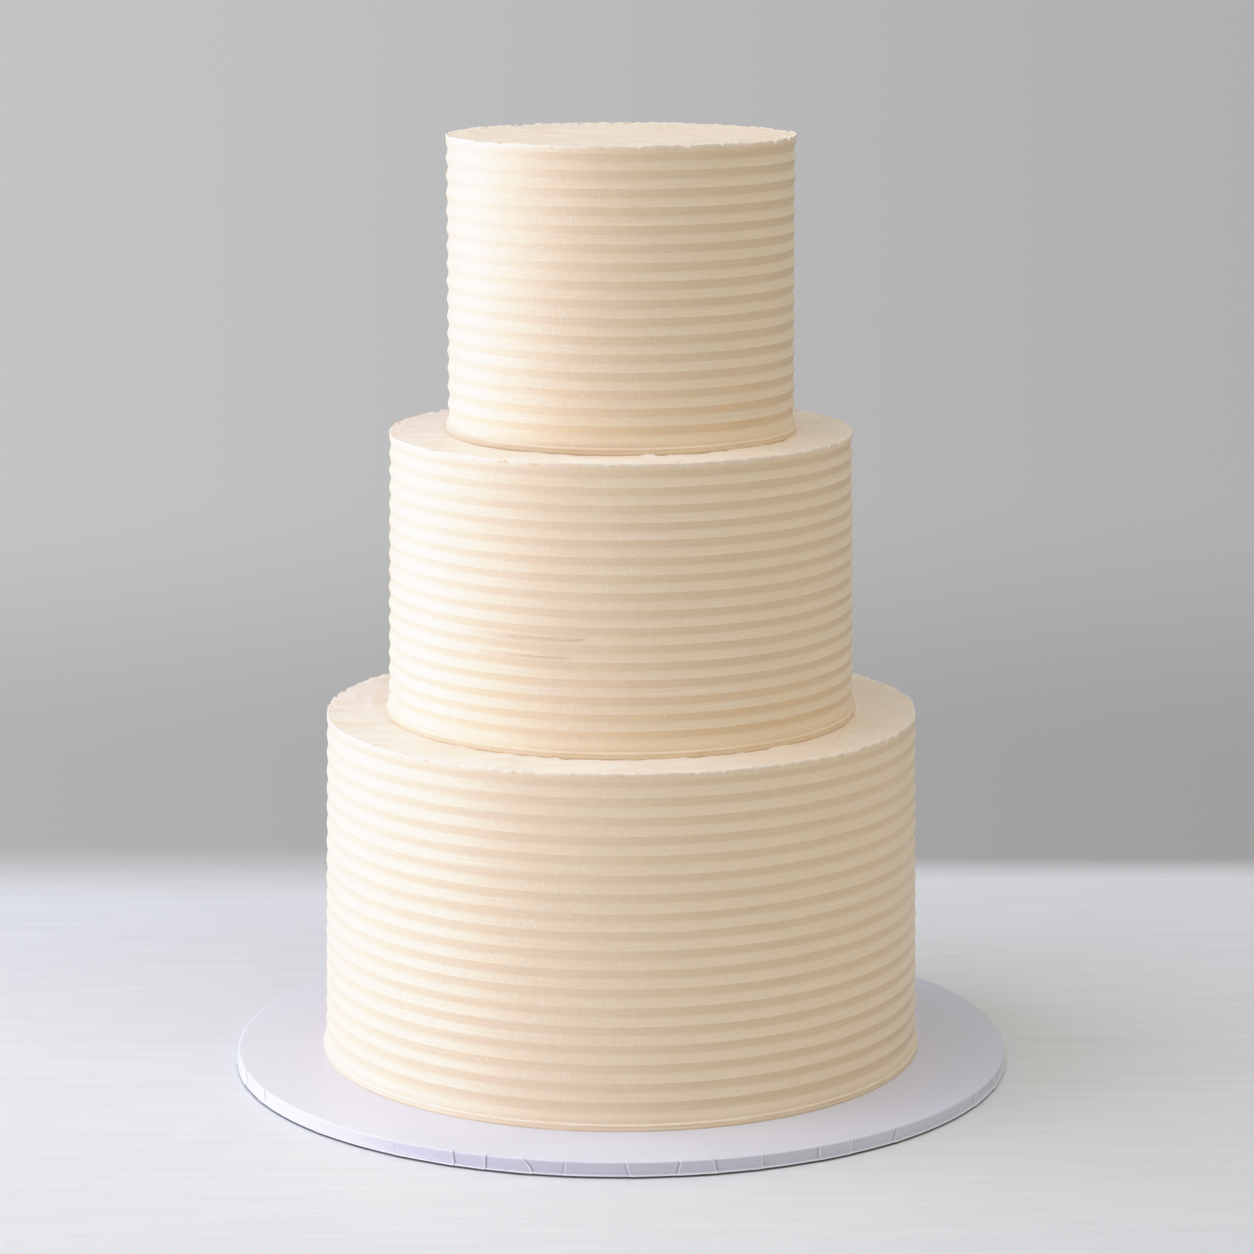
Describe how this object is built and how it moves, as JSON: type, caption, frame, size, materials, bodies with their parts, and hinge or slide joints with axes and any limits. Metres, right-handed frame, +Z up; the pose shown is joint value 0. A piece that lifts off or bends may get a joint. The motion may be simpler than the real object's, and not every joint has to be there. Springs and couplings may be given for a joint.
{
  "type": "tiered buttercream cake",
  "caption": "Tall round tiered cake in cream buttercream combed into level ridges, standing on its round paper-covered board.",
  "frame": {"origin": "on the surface that the board stands on, under the middle of the board", "axes": "+Z up through the middle of every tier, -Y towards the side that the picture shows"},
  "size_m": [0.3556, 0.3556, 0.4255],
  "materials": {
    "board_paper": "satin",
    "buttercream": "matte"
  },
  "bodies": {
    "root": {"cake_board": "board_paper", "tier_bottom": "buttercream", "tier_middle": "buttercream", "tier_top": "buttercream"}
  },
  "joints": []
}
